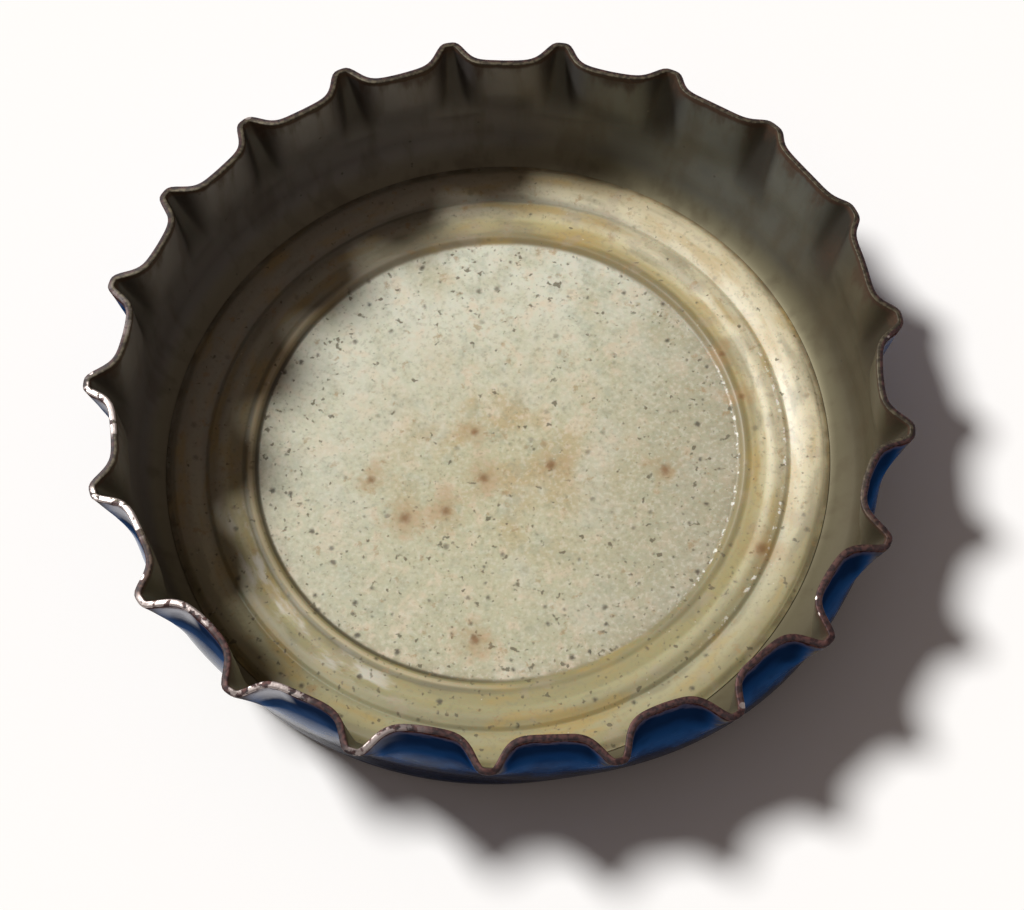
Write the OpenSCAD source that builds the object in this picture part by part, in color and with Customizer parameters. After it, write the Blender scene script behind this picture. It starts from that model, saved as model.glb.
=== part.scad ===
// Crown bottle cap, taken off a bottle and lying on its panel with the open side up.
// A sheet-metal shell with a fluted skirt, and a moulded sealing liner bonded inside it.
// The frame's origin is the middle of the panel's underside, and +Z points out of the opening.

/* [Shell] */
// Thickness of the sheet
sheet_t = 0.24; // [0.18:0.02:0.34]
// Outer diameter of the plain wall, just above the corner
base_d = 26.8; // [25.4:0.1:29]
// Outer radius of the corner between the panel and the wall
corner_r = 1.8; // [1.2:0.1:2.2]
// Height of the rim between two ridges, midway between its low side and its high side
rim_z = 6.4; // [5.6:0.1:7.4]
// How far the rim drops at the tip of a ridge
tip_drop = 0.2; // [0:0.05:0.4]
// Height of the wall's shoulder
shoulder_z = 3; // [2.6:0.1:3.4]
// How far the wall leans out between the corner and the shoulder
wall_lean = 0.25; // [0:0.05:0.5]
// Height at which the panels between the ridges are pressed in furthest
waist_z = 4.6; // [4:0.1:5]
// How far they are pressed in there, from the shoulder
panel_press = 0.2; // [0:0.05:0.5]
// How far they flare out again between there and the rim
panel_flare = 0.05; // [0:0.05:0.4]

/* [Flutes] */
// Number of ridges round the skirt
flute_count = 21; // [17:1:24]
// How far the tips of the ridges stand out past the plain wall
tip_out = 1.2; // [0.7:0.05:2]
// Share of the pitch that a ridge takes up at the rim, measured at half its depth
ridge_share = 0.3; // [0.2:0.02:0.44]
// How much wider than at the rim a ridge is where it starts, as a share of its width
ridge_spread = 0.5; // [0:0.05:0.8]

/* [Dents and wear] */
// Direction of the first ridge, in degrees from +X
first_ridge = 90.7; // [80:0.5:100]
// Direction in which an opener pushed the skirt out, in degrees from +X
opener_angle = 32; // [-180:1:180]
// Half width of the stretch that the opener pushed out, in degrees
opener_width = 30; // [15:1:45]
// How far the opener pushed the tips of the ridges out
opener_push = 0.36; // [0:0.04:0.8]
// How far it pushed the panels between the ridges out, past the tips' own push
opener_flatten = 0.51; // [0:0.03:0.6]
// Direction in which the wall bulges out down to the corner, in degrees from +X
bulge_angle = -42; // [-180:1:180]
// Half width of that bulge, in degrees
bulge_width = 48; // [20:1:60]
// How far the bulge stands out at the corner
bulge_base = 0.74; // [0:0.02:0.9]
// How far the bulge stands out at the rim
bulge_rim = 0.59; // [0:0.02:0.9]
// Direction from which the wall was pressed in, in degrees from +X
dent_angle = -101; // [-180:1:180]
// Half width of that dent, in degrees
dent_width = 40; // [20:1:60]
// Depth of the dent at the corner
dent_base = 0.59; // [0:0.02:0.8]
// Depth of the dent at the rim
dent_rim = 0.36; // [0:0.02:0.8]
// Direction in which the ridges stayed deepest, in degrees from +X
deep_angle = -60; // [-180:1:180]
// Half width of the stretch where they did, in degrees
deep_width = 55; // [20:1:70]
// How much deeper the ridges are there, on the tips and on the panels
deep_extra = 0.15; // [0:0.05:0.3]
// How far the bent skirt's rim hangs lower on the +X side, and stands higher on the other
rim_sag = 0.9; // [0:0.1:1.2]
// Shift of the rim towards +Y where it hangs lower, as a share of how much lower it hangs
sag_shift = 0.46; // [0:0.02:0.6]
// Spread of the rim outwards where it hangs lower, as a share in the same way
sag_spread = 0.16; // [0:0.02:0.4]
// Uneven spacing of the ridges round the skirt: largest shift once round, in degrees
drift_once = 1.4; // [0:0.1:2]
// Shift that comes twice round, in degrees
drift_twice = 1.8; // [0:0.1:2.4]
// Shift that comes three times round, in degrees
drift_thrice = 0.6; // [0:0.1:1.5]

/* [Liner] */
// Diameter of the thin flat disc in the middle of the liner
disc_d = 18; // [15:0.1:18.4]
// Thickness of that disc
disc_t = 0.16; // [0.1:0.02:0.22]
// Thickness of the raised ring round the disc
ring_t = 0.3; // [0.24:0.02:0.5]
// Width of the step between the disc and that ring
step_w = 0.12; // [0.06:0.02:0.3]
// Distance of the round bead on the ring from the liner's outer edge
bead_inset = 1.98; // [1.8:0.02:2.2]
// Height of the bead above the raised ring
bead_h = 0.09; // [0.05:0.01:0.2]
// Width of the bead
bead_w = 0.8; // [0.5:0.05:0.9]
// Thickness of the liner at the bottom of the groove outside the bead
groove_t = 0.2; // [0.12:0.02:0.3]
// Distance of the liner's outer edge from the inside of the plain wall
edge_inset = 0.73; // [0.6:0.01:0.9]
// Thickness of that edge, where it lies on the bend of the corner
edge_t = 0.15; // [0.08:0.01:0.25]
// Clearance between the liner and the bend of the corner
liner_gap = 0.06; // [0.05:0.01:0.1]

/* [Hidden] */

// Half a turn and a full turn, in degrees
half_turn = 180;
full_turn = 360;

base_r = base_d / 2;
panel_r = base_r - corner_r;
edge_r = base_r - sheet_t - edge_inset;
bead_r = edge_r - bead_inset;
pitch = full_turn / flute_count;
// Turn of the once-round shift, in degrees
drift_turn = 31;
// Where the bulge and the dent start and reach their full depth, as shares of the corner's height
push_start = 0.3;
push_end = 0.8;
// Roundness of a ridge's back: more makes the back flatter and the sides steeper
ridge_round = 3.6;
// Curve of the ridges' crests, and of the panels' flare: 1 is straight
crest_curve = 1.15;
flare_curve = 1.5;

// Columns of one flute, as shares of its pitch from ridge to ridge
flute_columns = [0, 0.06, 0.11, 0.16, 0.22, 0.32, 0.5, 0.68, 0.78, 0.84, 0.89, 0.94];
// Places along the section: 0 is the panel's edge, 1 is the end of the corner, 2 is the rim
corner_places = [0, 0.25, 0.5, 0.75, 1];
skirt_places = [1.2, 1.36, 1.48, 1.6, 1.78, 2];
places = concat(corner_places, skirt_places);
row_count = len(places);
column_count = flute_count * len(flute_columns);
// Step for the slopes from which the sheet's normals are worked out
slope_step = 0.01;
// Steps of the liner's arcs
arc_steps = 8;
// Gap between the bead and the bottom of the groove outside it
groove_gap = 0.1;
// Curve of the liner's rise from the groove to its outer edge: 1 is straight
rise_curve = 1.6;
// Share of the corner's bend that the liner's underside follows
bend_share = 0.8;

// Rises smoothly from 0 to 1 as x goes from low to high
function ease(x, low, high) =
    let (u = min(max((x - low) / (high - low), 0), 1)) u * u * (3 - 2 * u);

// 1 in one direction round the cap, fading to 0 away from it
function lobe(angle, centre, width) =
    let (away = (angle - centre + half_turn + 2 * full_turn) % full_turn - half_turn)
    exp(-pow(away / width, 2));

// Between a value at the corner, where height is 0, and one at the rim, where it is 1
function between(at_corner, at_rim, height) = at_corner + (at_rim - at_corner) * height;

// Sideways shift of the ridges round the skirt
function drift(angle) =
    drift_once * cos(angle + drift_turn) - drift_twice * cos(2 * angle) + drift_thrice * sin(3 * angle);

// How much of a ridge there is at a place in the flute, 0 to 1, with wider ridges lower down
function ridge(share, height) =
    let (
        away = abs(share - round(share)),
        half_width = ridge_share / 2 * between(1 + ridge_spread, 1, height)
    )
    1 / (1 + pow(away / half_width, ridge_round));

// Radius of the outer face of the undented skirt. height runs from 0 at the corner to 1 at the rim.
function skirt_radius(share, height) =
    let (
        z = between(corner_r, rim_z, height),
        lean = wall_lean * ease(z, corner_r, shoulder_z),
        press = panel_press * ease(z, shoulder_z, waist_z),
        flare = panel_flare * pow(max(z - waist_z, 0) / (rim_z - waist_z), flare_curve),
        panel = base_r + lean - press + flare,
        crest = base_r + tip_out * pow(height, crest_curve)
    )
    panel + max(crest - panel, 0) * ridge(share, height);

// How far the bulge and the dent move the whole wall out
function wall_push(angle, height) =
    between(bulge_base, bulge_rim, height) * lobe(angle, bulge_angle, bulge_width)
    - between(dent_base, dent_rim, height) * lobe(angle, dent_angle, dent_width);

// What grows towards the rim: the opener's push, and the stretch of deeper ridges
function rim_push(angle, share, height) =
    let (
        on_ridge = ridge(share, height),
        opener = (opener_push + opener_flatten * (1 - on_ridge)) * lobe(angle, opener_angle, opener_width),
        deeper = deep_extra * (2 * on_ridge - 1) * lobe(angle, deep_angle, deep_width)
    )
    height * (opener + deeper);

// Point on the outer face of the shell, from the flute's share round the cap and the place along the section
function outer_point(turn, place) =
    let (
        nominal = first_ridge + turn * pitch,
        angle = nominal + drift(nominal),
        bend = min(place, 1) * 90,
        height = max(place - 1, 0),
        level = place <= 1 ? corner_r * (1 - cos(bend))
            : between(corner_r, rim_z - tip_drop * ridge(turn, 1), height),
        section = place <= 1 ? panel_r + corner_r * sin(bend) : skirt_radius(turn, height),
        push = wall_push(angle, height) * ease(level, push_start * corner_r, push_end * corner_r),
        sag = rim_sag * height * cos(angle),
        r = section + push + rim_push(angle, turn, height) + sag_spread * sag
    )
    [r * cos(angle), r * sin(angle) + sag_shift * sag, level - sag];

// The sheet's normal, pointing out of the cap
function outward(turn, place) =
    let (
        low = max(place - slope_step, 0),
        high = min(place + slope_step, 2),
        along = outer_point(turn, high) - outer_point(turn, low),
        round_it = outer_point(turn + slope_step, place) - outer_point(turn - slope_step, place),
        normal = cross(round_it, along)
    )
    place == 0 ? [0, 0, -1] : normal / norm(normal);

function column_turn(column) =
    floor(column / len(flute_columns)) + flute_columns[column % len(flute_columns)];

// Two triangles for each square of a grid of points, whose rows close on themselves
function band_faces(first_row, second_row) = [
    for (column = [0 : column_count - 1])
        let (
            next = (column + 1) % column_count,
            a = first_row * column_count + column,
            b = first_row * column_count + next,
            c = second_row * column_count + next,
            d = second_row * column_count + column
        )
        each [[a, c, b], [a, d, c]]
];

// The shell is one pressed sheet: an outer face, the same face moved in by the sheet, and a cut rim
module crown_shell() {
    outer = [
        for (place = places, column = [0 : column_count - 1])
            outer_point(column_turn(column), place)
    ];
    inner = [
        for (place = places, column = [0 : column_count - 1])
            let (turn = column_turn(column))
            outer_point(turn, place) - sheet_t * outward(turn, place)
    ];
    faces = [
        [for (column = [0 : column_count - 1]) column],
        for (row = [0 : row_count - 2]) each band_faces(row, row + 1),
        each band_faces(row_count - 1, 2 * row_count - 1),
        for (row = [row_count - 1 : -1 : 1]) each band_faces(row_count + row, row_count + row - 1),
        [for (column = [column_count - 1 : -1 : 0]) row_count * column_count + column]
    ];
    color("royalblue") polyhedron(points = concat(outer, inner), faces = faces, convexity = 6);
}

// Section of the liner, from the middle outwards over the top and back along the bottom
function liner_section() =
    let (
        floor_z = sheet_t,
        disc_r = disc_d / 2,
        groove_r = bead_r + bead_w / 2 + groove_gap,
        groove_z = floor_z + groove_t,
        bend_r = corner_r - sheet_t - liner_gap,
        bend_end = asin((edge_r - panel_r) / bend_r),
        edge_z = corner_r - bend_r * cos(bend_end) + edge_t
    )
    [
        [0, floor_z],
        [0, floor_z + disc_t],
        [disc_r, floor_z + disc_t],
        [disc_r + step_w, floor_z + ring_t],
        for (i = [0 : arc_steps])
            let (turn = half_turn * i / arc_steps)
            [bead_r - bead_w / 2 * cos(turn), floor_z + ring_t + bead_h * sin(turn)],
        for (i = [0 : arc_steps])
            let (run = i / arc_steps)
            [groove_r + (edge_r - groove_r) * run, edge_z - (edge_z - groove_z) * pow(1 - run, rise_curve)],
        for (i = [0 : arc_steps])
            let (turn = bend_end * (1 - i / arc_steps * bend_share))
            [panel_r + bend_r * sin(turn), corner_r - bend_r * cos(turn)],
        [panel_r - liner_gap, floor_z]
    ];

// The liner lies on the inside of the panel and reaches up into the bend of the corner
module liner() {
    color("wheat") rotate_extrude($fn = 120) polygon(liner_section());
}

crown_shell();
liner();
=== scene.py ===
# %% [markdown]
# # A used crown cap, lying open side up
# The real cap is two pieces. A disc of tinplate, printed blue, is pressed into a shallow
# dish with 21 ridges round its skirt. A soft plastic liner is then moulded inside it. This
# notebook makes both again as fine surfaces, on top of the plain CAD solids, and gives each
# its finish: enamel, lacquered tin, a rusty cut edge and a yellowed, speckled liner.

# %% Load the frame
import bpy
import numpy as np
from mathutils import Matrix, Vector


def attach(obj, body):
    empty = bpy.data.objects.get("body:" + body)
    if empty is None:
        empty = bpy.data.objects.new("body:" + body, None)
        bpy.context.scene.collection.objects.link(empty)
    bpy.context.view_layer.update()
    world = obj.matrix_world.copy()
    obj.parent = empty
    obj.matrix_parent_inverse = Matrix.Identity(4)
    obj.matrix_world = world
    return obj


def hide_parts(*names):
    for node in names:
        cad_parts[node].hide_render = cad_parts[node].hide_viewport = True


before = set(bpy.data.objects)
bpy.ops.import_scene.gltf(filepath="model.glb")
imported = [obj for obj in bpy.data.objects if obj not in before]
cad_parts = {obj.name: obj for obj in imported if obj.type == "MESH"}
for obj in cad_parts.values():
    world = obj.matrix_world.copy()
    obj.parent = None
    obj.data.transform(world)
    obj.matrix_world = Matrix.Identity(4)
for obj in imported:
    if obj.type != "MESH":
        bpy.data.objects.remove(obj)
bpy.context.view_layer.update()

# %% [markdown]
# ## Helpers for the shape
# Sizes are easier to read in millimetres, so the shape is worked out in them and becomes
# metres only when the mesh is made. Angles are in degrees. Two small curves do most of the
# work: one rises smoothly between two values, and one is a soft hump in one direction round
# the cap, which places a dent or a bulge.

# %% Curves that the shape is made of
MM = 0.001


def ease(x, low, high):
    """0 below low and 1 above high; in between 3u^2 - 2u^3, with u the share of the way."""
    u = np.clip((x - low) / (high - low), 0, 1)
    return u * u * (3 - 2 * u)


def lobe(angle, centre, width):
    """exp(-(a / width)^2), with a the angle away from the centre, so 1 there and 0 far round."""
    away = (angle - centre + 900) % 360 - 180
    return np.exp(-((away / width) ** 2))


print("ease half way:", ease(np.array(0.5), 0, 1), " lobe at its width:", lobe(20, 0, 20).round(2))

# %% [markdown]
# ## The pressed shell
# The real shell starts as a flat disc of tinplate 0.24 mm thick. A punch draws it into a dish
# whose wall flares out, and the crowning tool then presses the wall in between the ridges.
# From the panel up, the wall leans out to a shoulder, is pressed in to a waist, and flares a
# little again at the rim, while the ridges run straight out to their tips.
# It could be modelled with a fluted cylinder and a Solidify modifier. Here it is one
# function of two parameters instead: the turn round the skirt, counted in flutes, and the
# place along the section, from the middle of the panel (-1) over the corner (0 to 1) to the
# rim (2). The inner face is the same function, moved in by the sheet along its normal, so
# the thickness is true everywhere.

# %% Sizes of the shell
SHEET_T = 0.24
BASE_R = 13.4
CORNER_R = 1.8
PANEL_R = BASE_R - CORNER_R
SHOULDER_Z = 3.0
WAIST_Z = 4.6
RIM_Z = 6.4
TIP_DROP = 0.2
FLUTES = 21
FIRST_RIDGE = 90.7
TIP_OUT = 1.2
RIDGE_SHARE = 0.3
WALL_LEAN = 0.25
PANEL_PRESS = 0.2
PANEL_FLARE = 0.05
DRIFT_ONCE, DRIFT_TWICE, DRIFT_THRICE = 1.4, 1.8, 0.6
DRIFT_TURN = 31


def drift(angle):
    """Uneven pitch, in degrees: a shift of the ridges that goes once, twice and three times
    round, as D1 cos(a + turn) - D2 cos(2a) + D3 sin(3a)."""
    a = np.radians(angle)
    once = DRIFT_ONCE * np.cos(a + np.radians(DRIFT_TURN))
    return once - DRIFT_TWICE * np.cos(2 * a) + DRIFT_THRICE * np.sin(3 * a)


def ridge(turn, height):
    """A bell 1 / (1 + (a / w)^3.6) across each ridge, with w its half width, larger lower down."""
    away = np.abs(turn - np.round(turn))
    return 1 / (1 + (away / (RIDGE_SHARE / 2 * (1.5 - 0.5 * height))) ** 3.6)


def lean(z):
    """How far the wall leans out: it grows smoothly from the corner to the shoulder."""
    return WALL_LEAN * ease(z, 0.5 * CORNER_R, SHOULDER_Z)


def skirt_radius(turn, height):
    """Panel radius by height (lean, press, and a flare by the power 1.5), lifted towards the
    ridge's crest, which runs out nearly straight, by the power 1.15."""
    z = CORNER_R + (RIM_Z - CORNER_R) * height
    flare = PANEL_FLARE * np.clip((z - WAIST_Z) / (RIM_Z - WAIST_Z), 0, 1) ** 1.5
    panel = BASE_R + lean(z) - PANEL_PRESS * ease(z, SHOULDER_Z, WAIST_Z) + flare
    crest = BASE_R + TIP_OUT * height**1.15
    return panel + np.maximum(crest - panel, 0) * ridge(turn, height)


ridge_r, panel_r = skirt_radius(0.0, 1.0), skirt_radius(0.5, 1.0)
print("radius at the rim in mm: on a ridge", ridge_r.round(2), "and on a panel", panel_r.round(2))

# %% [markdown]
# The cap has been pulled off a bottle. The opener pushed the skirt out on one side and
# flattened its ridges, the wall beside it bulges down to the corner, the next stretch was
# pressed in, and the ridges stayed deepest between those two. Each of these is a soft lobe
# round the cap. The bent skirt also hangs lower on the opener's side and stands higher
# opposite, with a slight twist. A few small knocks and a waver of some hundredths of a
# millimetre, with phases from a fixed seed, make every flute a little different.

# %% Dents of the skirt
BENDS = [  # direction and width in degrees, and how far out in mm at the corner and at the rim
    (-42, 48, 0.74, 0.59), (-101, 40, -0.59, -0.36),
]
OPENER_AT, OPENER_WIDTH, OPENER_PUSH, OPENER_FLATTENS = 32, 30, 0.36, 0.51
DEEP_AT, DEEP_WIDTH, DEEPER_BY = -60, 55, 0.15
KNOCKS = [  # direction and width in degrees, and how far out in mm
    (-22, 7, -0.17), (-54, 7, 0.15), (-84, 7, 0.2), (14, 6, 0.11),
    (-123, 8, 0.1), (-143, 8, -0.1), (165, 7, -0.08),
]
chance = np.random.default_rng(21)
WAVES = [(n, chance.uniform(0, 360), 0.04 / np.sqrt(n)) for n in (4, 7, 11, 16, 23, 31)]


def wall_push(angle, height):
    """How far the whole wall is moved out: a bulge and a dent, each a lobe round the cap that
    changes evenly from the corner to the rim."""
    return sum((low + (high - low) * height) * lobe(angle, at, width) for at, width, low, high in BENDS)


def rim_push(angle, turn, height):
    """What grows towards the rim: the opener's push, deeper ridges, knocks and the waver."""
    on_ridge = ridge(turn, height)
    opener = lobe(angle, OPENER_AT, OPENER_WIDTH) * (OPENER_PUSH + OPENER_FLATTENS * (1 - on_ridge))
    deeper = DEEPER_BY * lobe(angle, DEEP_AT, DEEP_WIDTH) * (2 * on_ridge - 1)
    knocks = sum(push * lobe(angle, at, width) for at, width, push in KNOCKS)
    waver = sum(size * np.sin(np.radians(n * angle + phase)) for n, phase, size in WAVES)
    return height * (opener + deeper + height * (knocks * (1 - on_ridge) + waver))


at_bends = wall_push(np.array([bend[0] for bend in BENDS]), 0)
print("wall moved out at the corner by", at_bends.round(2), "mm, with", len(KNOCKS), "knocks at the rim")

# %% The outer face of the sheet
RIM_SAG = 0.9
SAG_SPREAD = 0.16
SAG_SHIFT = 0.46


def outer_face(turn, place):
    """Polar point: panel for place below 0, a quarter circle to 1, then the skirt up to 2, which
    hangs lower by RIM_SAG h cos(a) and moves a share of that sideways and outwards."""
    nominal = FIRST_RIDGE + turn * 360 / FLUTES
    angle = nominal + drift(nominal)
    bend = np.radians(90 * np.clip(place, 0, 1))
    height = np.clip(place - 1, 0, 1)
    z = CORNER_R * (1 - np.cos(bend)) + (RIM_Z - CORNER_R - TIP_DROP * ridge(turn, 1)) * height
    corner = PANEL_R * (1 + np.minimum(place, 0)) + CORNER_R * np.sin(bend) + lean(z)
    section = np.where(place > 1, skirt_radius(turn, height), corner)
    above_bend = ease(z, 0.3 * CORNER_R, 0.8 * CORNER_R)
    pushed = wall_push(angle, height) * above_bend + rim_push(angle, turn, height)
    a = np.radians(angle)
    sag = RIM_SAG * height * np.cos(a)
    r = section + pushed + SAG_SPREAD * sag
    return np.stack([r * np.cos(a), r * np.sin(a) + SAG_SHIFT * sag, z - sag], -1)


def outward(turn, place, step=0.004):
    """Unit normal, the cross product of the slopes round the cap and along the section."""
    low, high = np.maximum(place - step, 0), np.minimum(place + step, 2)
    round_it = outer_face(turn + step, place) - outer_face(turn - step, place)
    normal = np.cross(round_it, outer_face(turn, high) - outer_face(turn, low))
    normal = np.where(place[..., None] <= 0, [0.0, 0.0, -1.0], normal)
    return normal / np.linalg.norm(normal, axis=-1, keepdims=True)


print("tip of the first ridge in mm:", outer_face(np.array(0.0), np.array(2.0)).round(2))

# %% [markdown]
# The grid has more rows where the sheet bends. Its rows run from the middle of the panel up
# the outside, over the cut edge and down the inside, and both ends close in a point.

# %% A mesh from a closed grid
def grid_mesh(name, points, materials, row_material, **row_values):
    """Mesh of a grid (rows, columns, xyz in mm) whose rows close on themselves and whose first
    and last rows are single points. Each square has corner numbers found by arithmetic."""
    rows, columns = points.shape[:2]
    body = points[1:-1].reshape(-1, 3)
    corners = np.vstack([points[0, :1], body, points[-1, :1]]) * MM
    here = 1 + np.arange((rows - 2) * columns).reshape(rows - 2, columns)
    beside = np.roll(here, -1, axis=1)
    squares = np.stack([here[:-1], beside[:-1], beside[1:], here[1:]], -1).reshape(-1, 4)
    start = np.stack([np.zeros(columns, int), beside[0], here[0]], -1)
    end = np.stack([here[-1], beside[-1], np.full(columns, len(corners) - 1)], -1)
    faces = start.tolist() + squares.tolist() + end.tolist()
    mesh = bpy.data.meshes.new(name)
    mesh.from_pydata(corners.tolist(), [], faces)
    mesh.polygons.foreach_set("material_index", np.repeat(row_material, columns).astype(np.int32))
    mesh.polygons.foreach_set("use_smooth", np.ones(len(faces), bool))
    for key, values in row_values.items():
        values = np.broadcast_to(values, (rows, columns))
        flat = np.concatenate([values[0, :1], values[1:-1].ravel(), values[-1, :1]])
        mesh.attributes.new(key, "FLOAT", "POINT").data.foreach_set("value", flat.astype(np.float32))
    for material in materials:
        mesh.materials.append(material)
    mesh.update()
    piece = bpy.data.objects.new(name, mesh)
    bpy.context.scene.collection.objects.link(piece)
    return piece


# %% Points of the shell, outside and inside
PER_FLUTE = 36
turn = np.arange(FLUTES * PER_FLUTE) / PER_FLUTE
panel_rows = np.linspace(-1, 0, 6)[:-1]
corner_rows = np.linspace(0, 1, 11)[:-1]
skirt_rows = np.linspace(1, 2, 40)
place = np.concatenate([panel_rows, corner_rows, skirt_rows])[:, None] + 0 * turn
turns = turn + 0 * place
outside = outer_face(turns, place)
inside = (outside - SHEET_T * outward(turns, place))[::-1]
sheet = np.linalg.norm(outside - inside[::-1], axis=-1)
print("sheet", sheet.min().round(3), "to", sheet.max().round(3), "mm thick, rows and columns", turns.shape)

# %% [markdown]
# A shear leaves the edge nearly flat and square to the sheet, with a small rounded shoulder
# outside and a fine burr inside. The edge is carried along the sheet's own direction, so
# where the skirt flares the cut tilts with it, and glints in another direction.

# %% The cut edge
EDGE_ARCH, BURR = 0.035, 0.015
across = np.array([0.04, 0.12, 0.3, 0.5, 0.7, 0.9, 0.97])[:, None, None]
arch = EDGE_ARCH * (1 - (2 * across - 1) ** 6) + BURR * across**6
along = outer_face(turn, 2.0) - outer_face(turn, 1.99)
along = along / np.linalg.norm(along, axis=-1, keepdims=True)
edge = outside[-1] * (1 - across) + inside[0] * across + arch * along
shell_points = np.concatenate([outside, edge, inside])
below = (2 - place[:, :1]) * (RIM_Z - CORNER_R)
below_rim = np.concatenate([below, np.zeros((len(edge), 1)), below[::-1]])
on_ridge = ridge(turn, 1)[None, :] * (below_rim < RIM_Z - CORNER_R)
inwards = np.concatenate([0 * below, across[:, 0], 1 + 0 * below])
flank = np.sin(2 * np.pi * turn)[None, :]
shell_side = np.repeat([0, 1, 2], [len(outside) - 1, len(edge) + 1, len(inside) - 1])
print("shell grid:", shell_points.shape[:2], "rows outside, on the edge, inside:", np.bincount(shell_side))

# %% [markdown]
# ## The moulded liner
# The liner is a soft plastic ring and disc, pressed into shape by a warm die while it is
# inside the shell. The die leaves a thin flat disc, a step up to a thicker ring with fine
# concentric lines, a rounded bead on which the bottle's lip seats, a groove, and a band that
# rises to a sharp edge lying on the bend of the shell. It is a turned shape: a profile with
# a Screw modifier would make it too. The grid is used again instead, so that the moulding can
# waver a little round the cap and both ends close in a point.

# %% Profile of the liner
DISC_R = 9.0
DISC_Z = SHEET_T + 0.16
RING_Z = SHEET_T + 0.3
GROOVE_Z = SHEET_T + 0.22
LIP_Z = SHEET_T + 0.42
BEAD_R, BEAD_HALF, BEAD_HIGH = 10.45, 0.4, 0.07
GROOVE_R = 10.98
LIP_R = 12.05
EDGE_R, EDGE_DROP = 12.43, 0.14
LINES = [(9.36, 0.1, 0.006), (9.52, 0.09, -0.009), (9.85, 0.25, 0.012)]  # radius, width, height in mm


def hump(r, centre, width):
    """exp(-((r - centre) / width)^2), a low rounded line round the liner."""
    return np.exp(-(((r - centre) / width) ** 2))


def liner_top(r):
    """Disc, step, fine lines, a half-sine bead, a groove, a rise that flattens, a falling lip."""
    step = (RING_Z - DISC_Z) * ease(r, DISC_R - 0.02, DISC_R + 0.3)
    lines = sum(height * hump(r, at, width) for at, width, height in LINES)
    bead = BEAD_HIGH * np.sin(np.pi * np.clip((r - BEAD_R + BEAD_HALF) / (2 * BEAD_HALF), 0, 1)) ** 1.5
    groove = (RING_Z - GROOVE_Z) * ease(r, GROOVE_R - 0.2, GROOVE_R)
    run = np.clip((r - GROOVE_R) / (LIP_R - GROOVE_R), 0, 1)
    rise = (LIP_Z - GROOVE_Z) * (1 - (1 - run) ** 1.6)
    return DISC_Z + step + lines + bead - groove + rise - EDGE_DROP * ease(r, LIP_R, EDGE_R)


UNDER_BEND = CORNER_R - SHEET_T + 0.002
ring_r, slope_r = np.linspace(8.9, 11.2, 93), np.linspace(11.25, EDGE_R, 45)
top_r = np.concatenate([np.linspace(0, 8.8, 12), ring_r, slope_r])
bend = np.radians(np.linspace(32.0, 8, 9))
under_r = np.concatenate([PANEL_R + UNDER_BEND * np.sin(bend), [PANEL_R - 0.06, 0]])
under_z = np.concatenate([CORNER_R - UNDER_BEND * np.cos(bend), [SHEET_T, SHEET_T]])
profile_r = np.concatenate([top_r, under_r])[::-1, None]
profile_z = np.concatenate([liner_top(top_r), under_z])[::-1, None]
around = np.linspace(0, 2 * np.pi, 481)[:-1]
waver = 0.01 * np.sin(3 * around + 1) + 0.008 * np.sin(7 * around + 2) + 0.006 * np.sin(13 * around)
top_share = np.clip((profile_z - DISC_Z) / (LIP_Z - DISC_Z), 0, 1) * (profile_r < 12.2)
liner_z = profile_z + waver * top_share
liner_points = np.stack([profile_r * np.cos(around), profile_r * np.sin(around), liner_z], -1)
print("liner profile:", len(profile_r), "points, up to z", profile_z.max().round(2), "mm")

# %% [markdown]
# ## Helpers for the finishes
# Every finish is worked out by nodes from the object's own coordinates, so it stays on the
# cap from any side. The class below keeps the node code short: each method adds a node, or
# the few that make one mask or one stack of colours, and gives back the output.

# %% A finish and its nodes
def colour(red, green, blue):
    """A colour as a painter picks it on screen, 0 to 255, as the linear light a shader wants."""
    c = np.array([red, green, blue]) / 255
    linear = np.where(c <= 0.04045, c / 12.92, ((c + 0.055) / 1.055) ** 2.4)
    return (*linear.tolist(), 1.0)


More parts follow.
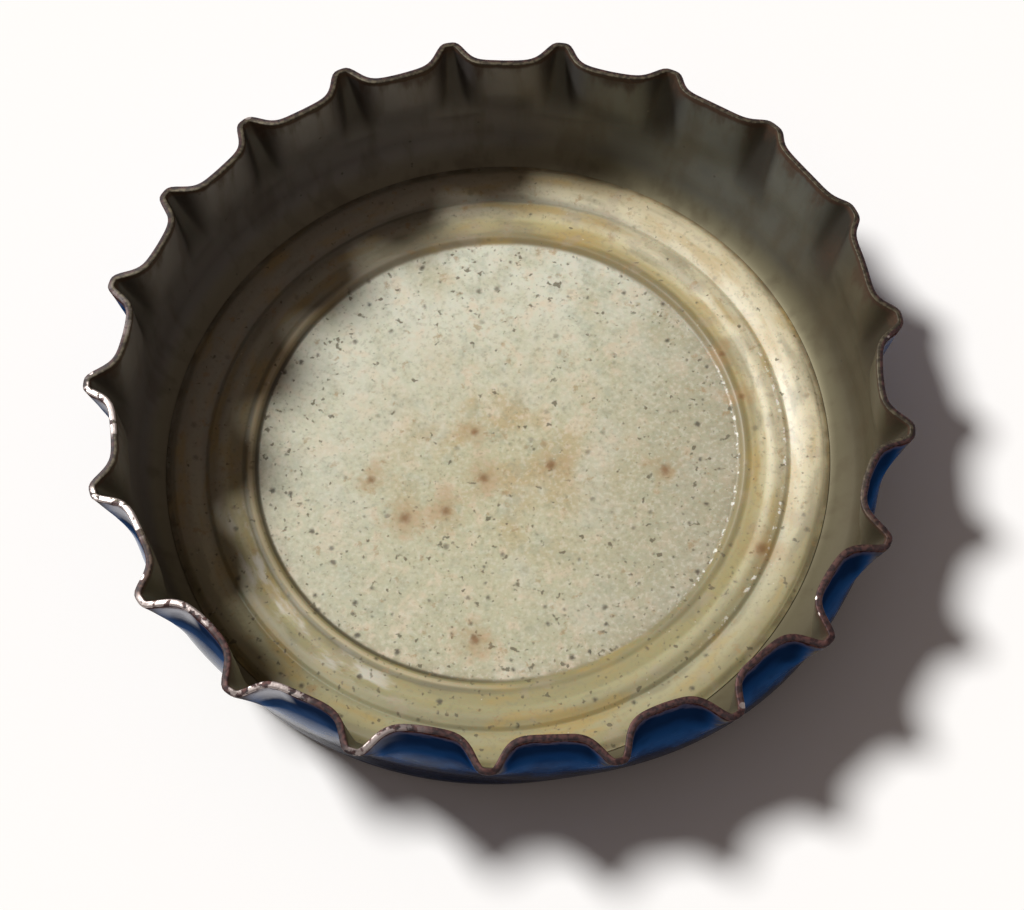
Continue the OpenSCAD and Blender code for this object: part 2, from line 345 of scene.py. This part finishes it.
class Finish:
    """A material being made: place is the object's own coordinates, in millimetres."""

    def __init__(self, name):
        self.material = bpy.data.materials.new(name)
        self.material.use_nodes = True
        self.tree = self.material.node_tree
        self.shader = self.tree.nodes["Principled BSDF"]
        here = self.add("ShaderNodeTexCoord").outputs["Object"]
        self.place = self.vector("SCALE", here, scale=1 / MM)

    def put(self, socket, value):
        if isinstance(value, bpy.types.NodeSocket):
            self.tree.links.new(value, socket)
        else:
            socket.default_value = value

    def add(self, kind, sockets=(), **settings):
        node = self.tree.nodes.new(kind)
        for key, value in settings.items():
            setattr(node, key, value)
        for key, value in dict(sockets).items():
            self.put(node.inputs[key], value)
        return node

    def calc(self, operation, *values):
        return self.add("ShaderNodeMath", dict(enumerate(values)), operation=operation).outputs[0]

    def vector(self, operation, *values, scale=None):
        node = self.add("ShaderNodeVectorMath", dict(enumerate(values)), operation=operation)
        if scale is not None:
            self.put(node.inputs["Scale"], scale)
        return node.outputs["Value" if operation in ("LENGTH", "DISTANCE", "DOT_PRODUCT") else "Vector"]

    def rise(self, value, low, high):
        """0 below low, 1 above high and smooth between them; the other way round if low is more."""
        sockets = {"Value": value, "From Min": low, "From Max": high}
        return self.add("ShaderNodeMapRange", sockets, interpolation_type="SMOOTHSTEP").outputs["Result"]

    def side(self, direction, low, high, where=None):
        """One side of the cap against the other: rises along that direction, in mm, or in
        shares of 1 where the heading from the axis is given."""
        return self.rise(self.vector("DOT_PRODUCT", where or self.place, direction), low, high)

    def band(self, value, centre, outer, inner):
        """1 where the value is within inner of the centre, and 0 from outer on."""
        away = self.calc("ABSOLUTE", self.calc("SUBTRACT", value, centre))
        return self.rise(away, outer, inner)

    def times(self, *values):
        """The product of two or more values: a mask that holds where all of them do."""
        product = values[0]
        for value in values[1:]:
            product = self.calc("MULTIPLY", product, value)
        return product

    def noise(self, size, detail=3.0, where=None, rough=0.5):
        """Cloudy noise about 0.5, whose blobs are about that many millimetres across."""
        sockets = {"Vector": where or self.place, "Scale": 1 / size, "Detail": detail, "Roughness": rough}
        return self.add("ShaderNodeTexNoise", sockets).outputs["Fac"]

    def mix(self, share, under, over):
        node = self.add("ShaderNodeMix", data_type="RGBA")
        for socket, value in zip((node.inputs[0], node.inputs[6], node.inputs[7]), (share, under, over)):
            self.put(socket, value)
        return node.outputs[2]

    def layers(self, base, rows):
        """Lays colours over the base in turn, each by its weight and at most by its share."""
        for weight, share, shade in rows:
            over = shade if isinstance(shade, bpy.types.NodeSocket) else colour(*shade)
            base = self.mix(self.times(weight, share), base, over)
        return base

    def tell(self, step):
        print(self.material.name, "after", step, "has", len(self.tree.nodes), "nodes")

    def attribute(self, name):
        return self.add("ShaderNodeAttribute", attribute_name=name).outputs["Fac"]

    def specks(self, pitch, size, share, where=None, soft=0.06, flat="3D"):
        """Spots of many sizes up to size, in mm: one in each cell of that pitch, for that share
        of the cells, and 1 in the middle of a spot."""
        sockets = {"Vector": where or self.place, "Scale": 1 / pitch}
        cells = self.add("ShaderNodeTexVoronoi", sockets, voronoi_dimensions=flat)
        pick = self.add("ShaderNodeSeparateColor", {0: cells.outputs["Color"]}).outputs[0]
        reach = self.times(self.calc("SUBTRACT", pick, 1 - share), size / 2 / pitch / share)
        return self.rise(self.calc("SUBTRACT", cells.outputs["Distance"], reach), 0.0, -soft / pitch)

    def finish(self, base, roughness, metallic=0.0, bump=None, strength=0.3, depth=0.02):
        """Joins colour, roughness, metal and a height in millimetres to the shader."""
        for key, value in {"Base Color": base, "Roughness": roughness, "Metallic": metallic}.items():
            self.put(self.shader.inputs[key], value)
        if bump is not None:
            sockets = {"Height": bump, "Distance": depth * MM, "Strength": strength}
            self.put(self.shader.inputs["Normal"], self.add("ShaderNodeBump", sockets).outputs["Normal"])
        self.tell("its last step")
        return self.material


print("a mid grey of 128 is", round(colour(128, 128, 128)[0], 3), "in linear light")

# %% [markdown]
# ## Blue enamel
# The outside is printed in a translucent blue ink over the tin and varnished. Handling has
# dulled the near side, and only the far side has kept its full gloss. The hollows between the
# ridges near the rim and the foot of the wall are painted nearly black, most on the near side:
# painted shade, where the enamel would mirror the cap's shadow on the table. On the left the
# blue is painted lighter and the flanks near the rim silvery: a painted reflection of the lit
# table. It is rubbed through on the backs of the ridges, where the tin is olive brown, and rust
# creeps under it from the cut. This could be one painted picture, but nodes stay sharp at any
# distance. The wear and the painted light follow values stored on the mesh: how far below the
# rim a point is, how much of a ridge is there, and on which flank of it.

# %% Enamel: the blue, its painted shade and a painted reflection
PAINTED_LIGHT_SIDE = (-0.87, -0.5, 0.0)
NEAR_SIDE = (-0.25, -0.97, 0.0)
FAR_SIDE = (0.25, 0.97, 0.0)
enamel = Finish("blue_enamel")
below_edge = enamel.attribute("below_rim")
ridge_here = enamel.attribute("on_ridge")
cloud = enamel.noise(1.2, 4)
fine = enamel.noise(0.15, 3)
left_reflection_and_gloss = enamel.side(PAINTED_LIGHT_SIDE, 8.5, 12.3)
wavy = enamel.calc("MULTIPLY_ADD", cloud, 2.4, enamel.calc("ADD", below_edge, -1.2))
painted_pocket_shade = enamel.times(enamel.rise(ridge_here, 0.85, 0.25), enamel.rise(wavy, 3.0, 1.2))
painted_shade_weight = enamel.calc("MULTIPLY_ADD", enamel.side(NEAR_SIDE, -9.0, 3.0), 0.65, 0.35)
blue = enamel.mix(enamel.rise(cloud, 0.35, 0.7), colour(34, 80, 136), colour(24, 60, 108))
blue = enamel.layers(blue, [
    # painted reflection: the blue is lighter on the left, where the enamel mirrors the lit table
    (left_reflection_and_gloss, 0.3, (92, 118, 160)),
    # painted shade: the hollows between the ridges near the rim, darkest on the near side
    (enamel.times(painted_pocket_shade, painted_shade_weight), 0.85, (10, 20, 42)),
    # painted shade: the foot of the wall fades dark, most on the near side
    (enamel.times(enamel.rise(wavy, 2.3, 4.2), painted_shade_weight), 1.0, (24, 30, 48)),
])
enamel.tell("the blue and its dirt")

# %% Enamel: wear, rust and a painted silver reflection
ragged = enamel.calc("MULTIPLY_ADD", enamel.noise(0.6, 5), 0.9, enamel.calc("ADD", below_edge, -0.45))
margin = enamel.rise(ragged, 0.3, 0.06)
on_back = enamel.times(enamel.rise(ridge_here, 0.5, 0.95), enamel.rise(below_edge, 4.2, 1.0))
patchy = enamel.rise(enamel.noise(0.3, 6), 0.38, 0.58)
rubbed = enamel.times(on_back, enamel.calc("MULTIPLY_ADD", patchy, 0.45, 0.5))
chipped = enamel.specks(1.6, 0.4, 0.1, soft=0.05)
worn = enamel.calc("MAXIMUM", rubbed, chipped)
reflection_near_rim = enamel.times(enamel.side(PAINTED_LIGHT_SIDE, 9.6, 12.6), enamel.rise(ragged, 1.6, 0.5))
painted_silver_and_metal = enamel.times(reflection_near_rim, enamel.rise(enamel.attribute("flank"), 0.5, 0.95))
bare = enamel.mix(enamel.rise(enamel.noise(0.5, 5), 0.38, 0.62), colour(82, 73, 56), colour(112, 102, 82))
rust = enamel.mix(enamel.rise(fine, 0.4, 0.6), colour(50, 30, 30), colour(84, 54, 48))
enamel_colour = enamel.layers(blue, [
    (enamel.rise(ragged, 0.6, 0.15), 0.55, (98, 94, 114)),
    (worn, 1.0, bare),
    # painted reflection: silvery flanks near the rim on the left, where the enamel mirrors the lit table;
    # it also adds some metal below
    (painted_silver_and_metal, 0.8, (176, 177, 184)),
    (margin, 1.0, rust),
])
enamel.tell("wear and rust")

# %% Enamel: gloss and relief
dull = enamel.calc("MAXIMUM", worn, margin)
intact = enamel.calc("SUBTRACT", 1.0, dull)
most_at_left = enamel.calc("MULTIPLY_ADD", left_reflection_and_gloss, 0.8, 0.2)
low_down = enamel.times(enamel.rise(below_edge, 2.3, 3.2), intact, most_at_left)
sheltered = enamel.times(enamel.side(FAR_SIDE, 2.0, 10.0), intact, 2.5)
glossy = enamel.calc("MAXIMUM", low_down, sheltered)
enamel.put(enamel.shader.inputs["Coat Weight"], enamel.times(glossy, 0.12))
enamel.put(enamel.shader.inputs["Specular IOR Level"], enamel.times(glossy, 0.2))
enamel.put(enamel.shader.inputs["Coat Roughness"], 0.06)
stretched = enamel.vector("MULTIPLY", enamel.place, (2.0, 2.0, 18.0))
scratches = enamel.rise(enamel.noise(0.9, 2, where=stretched), 0.62, 0.72)
scratched = enamel.calc("MULTIPLY_ADD", scratches, 0.1, 0.24)
enamel_roughness = enamel.calc("MULTIPLY_ADD", dull, 0.25, scratched)
texture = enamel.calc("MULTIPLY_ADD", cloud, 0.6, enamel.times(fine, 0.12))
relief = enamel.calc("MULTIPLY_ADD", dull, -0.3, texture)
enamel_metal = enamel.times(painted_silver_and_metal, 0.4)
blue_enamel = enamel.finish(enamel_colour, enamel_roughness, enamel_metal, relief, strength=0.35)

# %% [markdown]
# ## Lacquered tin
# The inside is bare tinplate under a clear lacquer that has gone greyish olive. It is a dull
# metal: most of what it shows is the liner, mirrored as broad soft patches. The hollow inside
# each ridge is painted dark: painted shade. The shaded wall at the upper left is painted
# lighter and greyer, painted light in its shade, the panels at the upper right get a painted
# bluish sheen, and the foot of the wall at the near right is darker. Rust has crept down from
# the cut in streaks, and one long streak runs down a ridge on the opener's side. Streaks could
# be painted on a strip wrapped round the wall. A noise stretched along the axis gives them
# here, so there is no seam.

# %% Tin
STREAK_AT = (12.95, 5.3, 4.4)
tin = Finish("lacquered_tin")
below_edge = tin.attribute("below_rim")
ridge_here = tin.attribute("on_ridge")
cloud = tin.noise(2.5, 4)
streak = tin.noise(0.8, 4, where=tin.vector("MULTIPLY", tin.place, (1.0, 1.0, 0.22)))
grain = tin.noise(0.12, 3)
painted_funnel_shade = tin.times(tin.rise(ridge_here, 0.05, 0.6), tin.rise(below_edge, 4.2, 2.2))
lacquer = tin.mix(tin.rise(cloud, 0.35, 0.65), colour(88, 82, 68), colour(68, 61, 48))
lacquer = tin.layers(lacquer, [
    # painted light: the wall on the shaded upper left is made lighter and greyer
    (tin.side((-0.7, 0.7, 0.0), 2.0, 12.0), 0.8, (148, 144, 148)),
    # painted highlight: a bluish sheen on the panels at the upper right
    (tin.side((0.66, 0.75, 0.0), 11.5, 13.6), 0.35, (136, 144, 146)),
    (tin.side((0.0, 0.0, 1.0), 1.5, 0.5), 0.8, (142, 136, 108)),
    (tin.side((0.6, -0.8, 0.0), 3.0, 10.0), 0.6, (92, 84, 64)),
    (tin.rise(streak, 0.45, 0.7), 0.35, (84, 72, 54)),
    # painted shade: the hollow inside each ridge, near the rim, is darkened
    (painted_funnel_shade, 0.78, (50, 42, 34)),
])
tin.tell("the lacquer")

# %% Tin: rust, dots, metal and relief
creep = tin.rise(tin.calc("ADD", below_edge, tin.times(streak, -5.0)), -1.9, -3.0)
edge_rust = tin.rise(tin.calc("ADD", below_edge, tin.times(streak, -0.5)), 0.06, -0.14)
from_streak = tin.vector("MULTIPLY", tin.vector("SUBTRACT", tin.place, STREAK_AT), (1.0, 1.0, 0.3))
ragged = tin.calc("ADD", tin.vector("LENGTH", from_streak), tin.times(grain, 0.6))
long_streak = tin.times(tin.rise(ragged, 1.1, 0.3), 0.6)
rusty = tin.calc("MAXIMUM", tin.calc("MAXIMUM", tin.times(creep, 0.7), edge_rust), long_streak)
dots = tin.specks(0.55, 0.2, 0.3)
tin_colour = tin.layers(lacquer, [
    (rusty, 1.0, tin.mix(grain, colour(88, 62, 45), colour(58, 43, 34))),
    (dots, 0.6, (44, 36, 28)),
    (tin.specks(0.7, 0.16, 0.25, soft=0.1), 0.5, (150, 140, 116)),
])
tin_metal = tin.calc("MULTIPLY_ADD", tin.calc("MAXIMUM", rusty, dots), -0.35, 0.45)
tin_roughness = tin.calc("ADD", tin.calc("MULTIPLY_ADD", cloud, 0.16, 0.4), tin.times(rusty, 0.25))
relief = tin.calc("MULTIPLY_ADD", grain, 0.12, tin.calc("MULTIPLY_ADD", cloud, 0.6, tin.times(rusty, 0.2)))
lacquered_tin = tin.finish(tin_colour, tin_roughness, tin_metal, relief, strength=0.3)

# %% [markdown]
# ## The cut edge
# Nothing protects the edge where the disc was sheared from its strip. Its outer half is brown
# with rust and its inner half is greyer. On the flanks of the ridges at the left, where the cut
# catches the lamp, white glints are painted on, and a few more painted glints lie elsewhere;
# those spots are also more metallic and smoother. The edge could share the tin's finish, but
# it has neither lacquer nor ink, so it gets one of its own.

# %% Cut edge
cut = Finish("cut_edge")
wavy = cut.calc("MULTIPLY_ADD", cut.noise(0.5, 4), 0.3, cut.attribute("inwards"))
inner_half = cut.rise(wavy, 0.55, 0.75)
near = cut.side((0.0, -1.0, 0.0), 3.0, 9.0)
glint_flanks = cut.times(cut.side(PAINTED_LIGHT_SIDE, 8.0, 12.5), cut.rise(cut.attribute("flank"), -0.6, 0.3))
grain = cut.noise(0.16, 5)
grainy = cut.rise(grain, 0.4, 0.62)
rust = cut.mix(grainy, colour(34, 20, 24), colour(72, 45, 43))
clean = cut.mix(grainy, colour(58, 50, 38), colour(94, 86, 68))
near_rust = cut.mix(grainy, colour(50, 29, 30), colour(92, 60, 56))
# painted glints: white on the left-hand flanks and in scattered specks, with more metal and less roughness
painted_flank_glints = cut.times(cut.rise(cut.noise(0.3, 4), 0.42, 0.52), glint_flanks)
painted_glints_and_metal = cut.calc("MAXIMUM", painted_flank_glints, cut.specks(0.5, 0.34, 0.22, soft=0.05))
cut_colour = cut.mix(inner_half, rust, cut.mix(near, clean, near_rust))
cut_colour = cut.mix(painted_glints_and_metal, cut_colour, colour(196, 184, 180))
cut_metal = cut.calc("MULTIPLY_ADD", painted_glints_and_metal, 0.5, cut.calc("MULTIPLY_ADD", inner_half, 0.2, 0.15))
cut_roughness = cut.calc("MULTIPLY_ADD", painted_glints_and_metal, -0.25, 0.56)
cut_edge = cut.finish(cut_colour, cut_roughness, cut_metal, grain, strength=0.4, depth=0.02)

# %% [markdown]
# ## Yellowed plastic
# The liner was milky and clear. The thin disc shows the tin through it as a pale greenish
# grey, the thicker ring has gone golden, and the band that rises to the sharp edge was
# polished by the bottle's lip. Its sheen is partly painted in: paler ramp colours and a
# painted highlight on the side towards the lamp. Dirt lies in every groove. The bands could be
# painted as rings on a flat picture. A colour ramp over the radius is used instead: it is
# exact at every step of the profile, and a little noise added to the radius keeps the bands
# from looking turned.

# %% Bands of the liner
BANDS = [
    (0.0, (188, 182, 148)), (5.0, (190, 187, 157)), (8.4, (186, 183, 154)), (8.85, (176, 169, 140)),
    (9.02, (138, 126, 96)), (9.14, (140, 126, 88)), (9.25, (136, 122, 82)), (9.4, (140, 126, 84)),
    (9.55, (168, 152, 104)), (9.9, (184, 170, 118)), (10.15, (200, 190, 146)), (10.4, (186, 176, 142)),
    (10.6, (174, 164, 134)), (10.76, (178, 170, 142)), (10.86, (150, 144, 122)), (11.0, (166, 160, 138)),
    # the pale rows at 11.2 and 11.5 mm are partly painted highlight, the sheen of the polished band
    (11.2, (206, 198, 168)), (11.5, (202, 192, 158)), (11.75, (178, 164, 128)), (12.1, (158, 144, 110)),
    (12.32, (146, 130, 98)), (12.42, (112, 98, 72)),
]
plastic = Finish("liner_plastic")
flat_place = plastic.vector("MULTIPLY", plastic.place, (1.0, 1.0, 0.0))
radius = plastic.vector("LENGTH", flat_place)
wobble = plastic.calc("MULTIPLY_ADD", plastic.noise(1.2, 4), 0.2, -0.1)
share = plastic.calc("DIVIDE", plastic.calc("ADD", radius, wobble), EDGE_R)
ramp = plastic.add("ShaderNodeValToRGB", {0: share})
while len(ramp.color_ramp.elements) < len(BANDS):
    ramp.color_ramp.elements.new(0.5)
for element, (at, shade) in zip(ramp.color_ramp.elements, BANDS):
    element.position = at / EDGE_R
    element.color = colour(*shade)
print("bands of the liner:", len(BANDS))

# %% [markdown]
# Clouds come next. Those of the disc are blobs, whiter at the far side and ochre in the
# middle. Those of the ring are streaks that run along it, so their noise is looked up by the
# heading from the axis and the radius. Each row below is a weight, the most it may cover, and
# its colour.

# %% Clouds of the disc
on_disc = plastic.rise(radius, 9.1, 8.9)
middle = plastic.rise(radius, 7.0, 0.5)
far_side = plastic.side((-0.1, 1.0, 0.0), -2.0, 8.0)
cloud = plastic.noise(1.7, 4)
small_cloud = plastic.noise(0.7, 4)
base = plastic.layers(ramp.outputs["Color"], [
    (plastic.times(on_disc, far_side, plastic.rise(cloud, 0.28, 0.55)), 0.85, (218, 218, 200)),
    (plastic.times(on_disc, plastic.rise(plastic.noise(2.6, 3), 0.5, 0.68)), 0.4, (208, 206, 190)),
    (plastic.times(on_disc, middle, plastic.rise(cloud, 0.44, 0.66)), 0.75, (180, 156, 106)),
    (plastic.times(on_disc, plastic.rise(small_cloud, 0.52, 0.68)), 0.34, (158, 164, 144)),
    (plastic.times(on_disc, plastic.rise(small_cloud, 0.46, 0.34)), 0.5, (218, 200, 174)),
    (plastic.times(on_disc, plastic.side((0.96, -0.28, 0.0), 1.0, 9.0)), 0.6, (160, 153, 130)),
    (plastic.times(on_disc, plastic.side((-0.9, 0.2, 0.0), 1.0, 8.0)), 0.4, (204, 204, 184)),
])
plastic.tell("the clouds of the disc")

# %% Clouds of the ring, the fine grit, and painted light and shade
off_disc = plastic.calc("SUBTRACT", 1.0, on_disc)
heading = plastic.vector("NORMALIZE", flat_place)
upwards = plastic.add("ShaderNodeCombineXYZ", {"Z": radius}).outputs[0]
in_rings = plastic.vector("ADD", plastic.vector("SCALE", heading, scale=3.0), upwards)
rings = plastic.noise(0.8, 4, where=in_rings)
near_side = plastic.side((-0.1, -1.0, 0.0), -4.0, 11.0)
highlight_heading = plastic.side((0.93, 0.37, 0.0), 0.66, 0.95, heading)
painted_highlight_band = plastic.times(highlight_heading, plastic.rise(radius, 9.65, 9.95), plastic.rise(radius, 12.4, 12.2))
grit = plastic.noise(0.17, 3)
at_left = plastic.side((-0.82, -0.57, 0.0), 0.8, 0.95, heading)
highlight_breakup = plastic.rise(plastic.noise(0.45, 5, where=in_rings), 0.44, 0.66)
painted_left_highlight = plastic.times(at_left, plastic.band(radius, 9.95, 0.6, 0.3), highlight_breakup)
base = plastic.layers(base, [
    (plastic.times(off_disc, near_side), 0.7, (144, 139, 100)),
    # painted shade colour: the upper left side, in the cap's own shadow, is made greyer
    (plastic.times(off_disc, plastic.side((-0.7, 0.7, 0.0), 4.0, 11.0)), 0.8, (150, 146, 134)),
    # painted highlight: the polished band is paler on the side that mirrors the lamp
    (painted_highlight_band, 0.7, (218, 208, 176)),
    (plastic.times(off_disc, plastic.rise(rings, 0.5, 0.68)), 0.6, (174, 147, 84)),
    (plastic.times(off_disc, plastic.rise(rings, 0.47, 0.34)), 0.45, (126, 120, 96)),
    (plastic.times(off_disc, plastic.rise(plastic.noise(0.9, 4), 0.54, 0.66)), 0.35, (164, 150, 130)),
    (plastic.rise(grit, 0.52, 0.7), 0.3, (136, 130, 104)),
    (plastic.times(on_disc, plastic.rise(grit, 0.48, 0.34)), 0.3, (220, 216, 200)),
    # painted highlight: a pale streaky band at the left, on the slope that faces the lamp
    (painted_left_highlight, 0.7, (212, 208, 198)),
])
plastic.tell("the clouds of the ring")

# %% Painted shade and highlight along the step at the left, and dirt at the liner's edge
painted_step_light_side = plastic.side((-0.95, -0.3, 0.0), 0.1, 0.7, heading)
crusts = plastic.rise(plastic.noise(0.7, 5), 0.36, 0.62)
edge_dirt = plastic.times(plastic.rise(radius, 12.12, 12.4), crusts)
base = plastic.layers(base, [
    # painted shade and highlight: the step and its fine lines, dark and light, on the left only
    (plastic.times(painted_step_light_side, plastic.band(radius, 9.03, 0.12, 0.03)), 0.75, (62, 56, 38)),
    (plastic.times(painted_step_light_side, plastic.band(radius, 9.28, 0.13, 0.04)), 0.6, (204, 190, 156)),
    (plastic.times(painted_step_light_side, plastic.band(radius, 9.5, 0.13, 0.03)), 0.6, (104, 98, 74)),
    (edge_dirt, 0.6, (92, 80, 58)),
])
plastic.tell("the lines round the ring")

# %% [markdown]
# Specks of dirt lie thickest on the near side and along the step. They could be small
# pieces scattered by geometry nodes, but they are flat stains. So they sit in cells of a
# texture, one speck at most in each, and a noise shakes their places so that no grid shows.
# Light dots catch the sun along the step and the bead, and the rust dots, each listed with its
# place, have a brown stain round them.

# %% Specks
SHAKEN_BY = 0.14  # mm
shake = plastic.add("ShaderNodeTexNoise", {"Vector": plastic.place, "Scale": 6.0}).outputs["Color"]
uneven = plastic.vector("ADD", plastic.place, plastic.vector("SCALE", shake, scale=SHAKEN_BY))
beside = plastic.vector("ADD", uneven, (0.3, 0.2, 0.0))
rim_of_disc = plastic.times(plastic.rise(radius, 5.5, 8.2), on_disc)
often = plastic.calc("MULTIPLY_ADD", plastic.calc("MAXIMUM", near_side, rim_of_disc), 0.6, 0.4)
dirt = plastic.calc("MULTIPLY_ADD", often, 0.07, plastic.noise(0.3, 1.5, where=uneven))
dark = plastic.rise(dirt, 0.71, 0.8)
blots = plastic.rise(plastic.noise(0.55, 4, where=uneven, rough=0.6), 0.6, 0.72)
round_dots = plastic.specks(0.7, 0.36, 0.42, where=uneven, soft=0.14, flat="2D")
tiny = plastic.specks(0.25, 0.16, 0.34, where=uneven, soft=0.06, flat="2D")
painted_glints = plastic.specks(0.5, 0.12, 0.12, where=beside, soft=0.08, flat="2D")
on_step = plastic.band(radius, 9.02, 0.09, 0.03)
on_bead = plastic.band(radius, 10.76, 0.1, 0.03)
glint_heading = plastic.side((0.97, -0.22, 0.0), 0.72, 0.95, heading)
dotted = plastic.rise(plastic.noise(0.22, 2), 0.54, 0.64)
base = plastic.layers(base, [
    (blots, 0.55, (156, 126, 82)),
    (dark, 0.8, (92, 84, 62)),
    (plastic.times(round_dots, often), 0.9, (76, 68, 52)),
    (plastic.times(tiny, often), 0.65, (96, 90, 70)),
    # painted glints: small white specks
    (painted_glints, 0.8, (232, 228, 214)),
    # painted glints: light dots along the step and the bead on the right, where they catch the sun
    (plastic.times(plastic.calc("MAXIMUM", on_step, on_bead), glint_heading, dotted), 0.85, (240, 238, 228)),
])
plastic.tell("the specks")

# %% Rust dots
RUST_DOTS = [  # x, y and radius in mm
    (1.98, -0.64, 0.3), (-0.56, -0.91, 0.3), (-0.74, 1.02, 0.24), (-4.78, -0.54, 0.24),
    (-3.62, -2.22, 0.34), (6.2, -1.3, 0.3), (-1.42, -7.32, 0.28), (9.36, -4.9, 0.36),
    (-2.1, -2.1, 0.3), (9.4, 1.35, 0.2), (8.87, 3.23, 0.2),
]
flat_uneven = plastic.vector("MULTIPLY", uneven, (1.0, 1.0, 0.0))
dots, halo = 0.0, 0.0
for x, y, size in RUST_DOTS:
    away = plastic.vector("DISTANCE", flat_uneven, (x + SHAKEN_BY / 2, y + SHAKEN_BY / 2, 0))
    stained = plastic.calc("MULTIPLY_ADD", small_cloud, 2.4, plastic.calc("ADD", away, -1.2))
    dots = plastic.calc("MAXIMUM", dots, plastic.rise(away, size, size * 0.1))
    halo = plastic.calc("MAXIMUM", halo, plastic.rise(stained, 3.4 * size, 0.0))
base = plastic.layers(base, [(halo, 0.55, (166, 132, 84)), (dots, 0.75, (124, 88, 48))])
print("rust dots:", len(RUST_DOTS))

# %% [markdown]
# The liner is smoothest where the bottle's lip pressed it, and dull where it is dirty. Its
# grain could be modelled, but it is only some hundredths of a millimetre high and never
# shows in an outline, so a bump in the shader is enough. A little light goes under the
# surface, as in any milky plastic.

# %% Gloss and relief of the liner
polished = plastic.times(plastic.rise(radius, 10.9, 11.1), plastic.rise(radius, 12.5, 12.2))
dirty = plastic.calc("MAXIMUM", dark, dots)
cloudy = plastic.calc("MULTIPLY_ADD", cloud, 0.12, 0.42)
stained = plastic.calc("MULTIPLY_ADD", dirty, 0.2, cloudy)
liner_roughness = plastic.calc("MULTIPLY_ADD", polished, -0.1, stained)
grain = plastic.noise(0.14, 4)
lumps = plastic.calc("MULTIPLY_ADD", dirty, 0.3, plastic.times(cloud, 0.5))
relief = plastic.calc("MULTIPLY_ADD", grain, 0.25, lumps)
plastic.put(plastic.shader.inputs["Subsurface Weight"], 0.15)
plastic.put(plastic.shader.inputs["Subsurface Scale"], 0.4 * MM)
liner_plastic = plastic.finish(base, liner_roughness, bump=relief, strength=0.3)

# %% [markdown]
# ## Put the pieces on the frame
# Each surface stands for its CAD solid and rides on the cap's one body. The table also lists
# the record's material slot for each, which the code below does not use.

# %% Pieces
on_mesh = {"below_rim": below_rim, "on_ridge": on_ridge, "inwards": inwards, "flank": flank}
finishes = [blue_enamel, cut_edge, lacquered_tin]
shell = grid_mesh("shell_sheet", shell_points, finishes, shell_side, **on_mesh)
liner_side = np.zeros(len(profile_r) - 1, int)
sealing_liner = grid_mesh("sealing_liner", liner_points, [liner_plastic], liner_side)
PIECES = [(shell, "crown_shell", "coated_tinplate"), (sealing_liner, "liner", "liner_plastic")]
for piece, node, name in PIECES:
    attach(piece, "root")
    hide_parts(node)
    size = np.round(piece.dimensions / MM, 2)
    print(piece.name, "has", len(piece.data.polygons), "faces and measures", size, "mm")

# %% [markdown]
# ## Table, light and camera
# The cap lies on a plain white table. One lamp from the upper left gives the shadow, soft at
# the tips of its scallops, and a weak even sky lights the shade. An area lamp could be
# placed and sized for it. A sun lamp is simpler: its light is even over the whole cap, and
# its angle alone says how soft the shadow is. Together with the sky it lights a level
# surface at about 1, so that colours show as they are written.

# %% Table
bpy.ops.mesh.primitive_plane_add(size=4, location=(0, 0, -0.02 * MM))
table = bpy.context.object
table.name = "table"
white = Finish("white_table")
table.data.materials.append(white.finish((0.995, 0.995, 0.995, 1), 0.9))
print("table top at z", round(table.location.z / MM, 3), "mm")

# %% Light
KEY_AZIMUTH, KEY_ELEVATION = np.radians(146.4), np.radians(52.7)
KEY_ENERGY, KEY_WIDTH, KEY_COLOUR = 3.5, 13.5, (1.0, 0.99, 0.97)
SKY_STRENGTH, SKY_COLOUR = 0.135, (1.0, 0.82, 0.74, 1)
level_part = np.cos(KEY_ELEVATION)
to_key = Vector((np.cos(KEY_AZIMUTH) * level_part, np.sin(KEY_AZIMUTH) * level_part, np.sin(KEY_ELEVATION)))
key = bpy.data.lights.new("key", "SUN")
key.energy = KEY_ENERGY
key.angle = np.radians(KEY_WIDTH)
key.color = KEY_COLOUR
key_object = bpy.data.objects.new("key", key)
key_object.rotation_euler = to_key.to_track_quat("Z", "Y").to_euler()
bpy.context.scene.collection.objects.link(key_object)
world = bpy.data.worlds.new("room")
bpy.context.scene.world = world
world.use_nodes = True
world.node_tree.nodes["Background"].inputs["Color"].default_value = SKY_COLOUR
world.node_tree.nodes["Background"].inputs["Strength"].default_value = SKY_STRENGTH
level = KEY_ENERGY * np.sin(KEY_ELEVATION) / np.pi + SKY_STRENGTH
print("level light on the table:", round(level, 3))

# %% [markdown]
# The camera looks down at the cap from close by, slightly rolled, through a lens long enough
# for the small cap to fill the picture. It could be aimed by hand in the viewport. Written as
# an elevation, a roll and a distance from one point, the view can be repeated and corrected
# one number at a time.

# %% Camera
ELEVATION, ROLL, DISTANCE = np.radians(65.1), np.radians(-5.55), 101.5 * MM
LOOK_AT = np.array([0.567, 0.108, 0]) * MM
LENS, SENSOR = 94.74, 36
back = np.array([0, -np.cos(ELEVATION), np.sin(ELEVATION)])
right, up = np.array([1.0, 0, 0]), np.array([0, np.sin(ELEVATION), np.cos(ELEVATION)])
x_axis = np.cos(ROLL) * right + np.sin(ROLL) * up
y_axis = np.cos(ROLL) * up - np.sin(ROLL) * right
stand = np.eye(4)
stand[:3] = np.column_stack([x_axis, y_axis, back, LOOK_AT + DISTANCE * back])
camera = bpy.data.objects.new("camera", bpy.data.cameras.new("camera"))
camera.data.lens = LENS
camera.data.sensor_width = SENSOR
camera.data.clip_start = 0.005
camera.matrix_world = Matrix(stand.tolist())
bpy.context.scene.collection.objects.link(camera)
bpy.context.scene.camera = camera
bpy.context.scene.view_settings.view_transform = "Standard"
print("camera stands at", (stand[:3, 3] / MM).round(1), "mm")
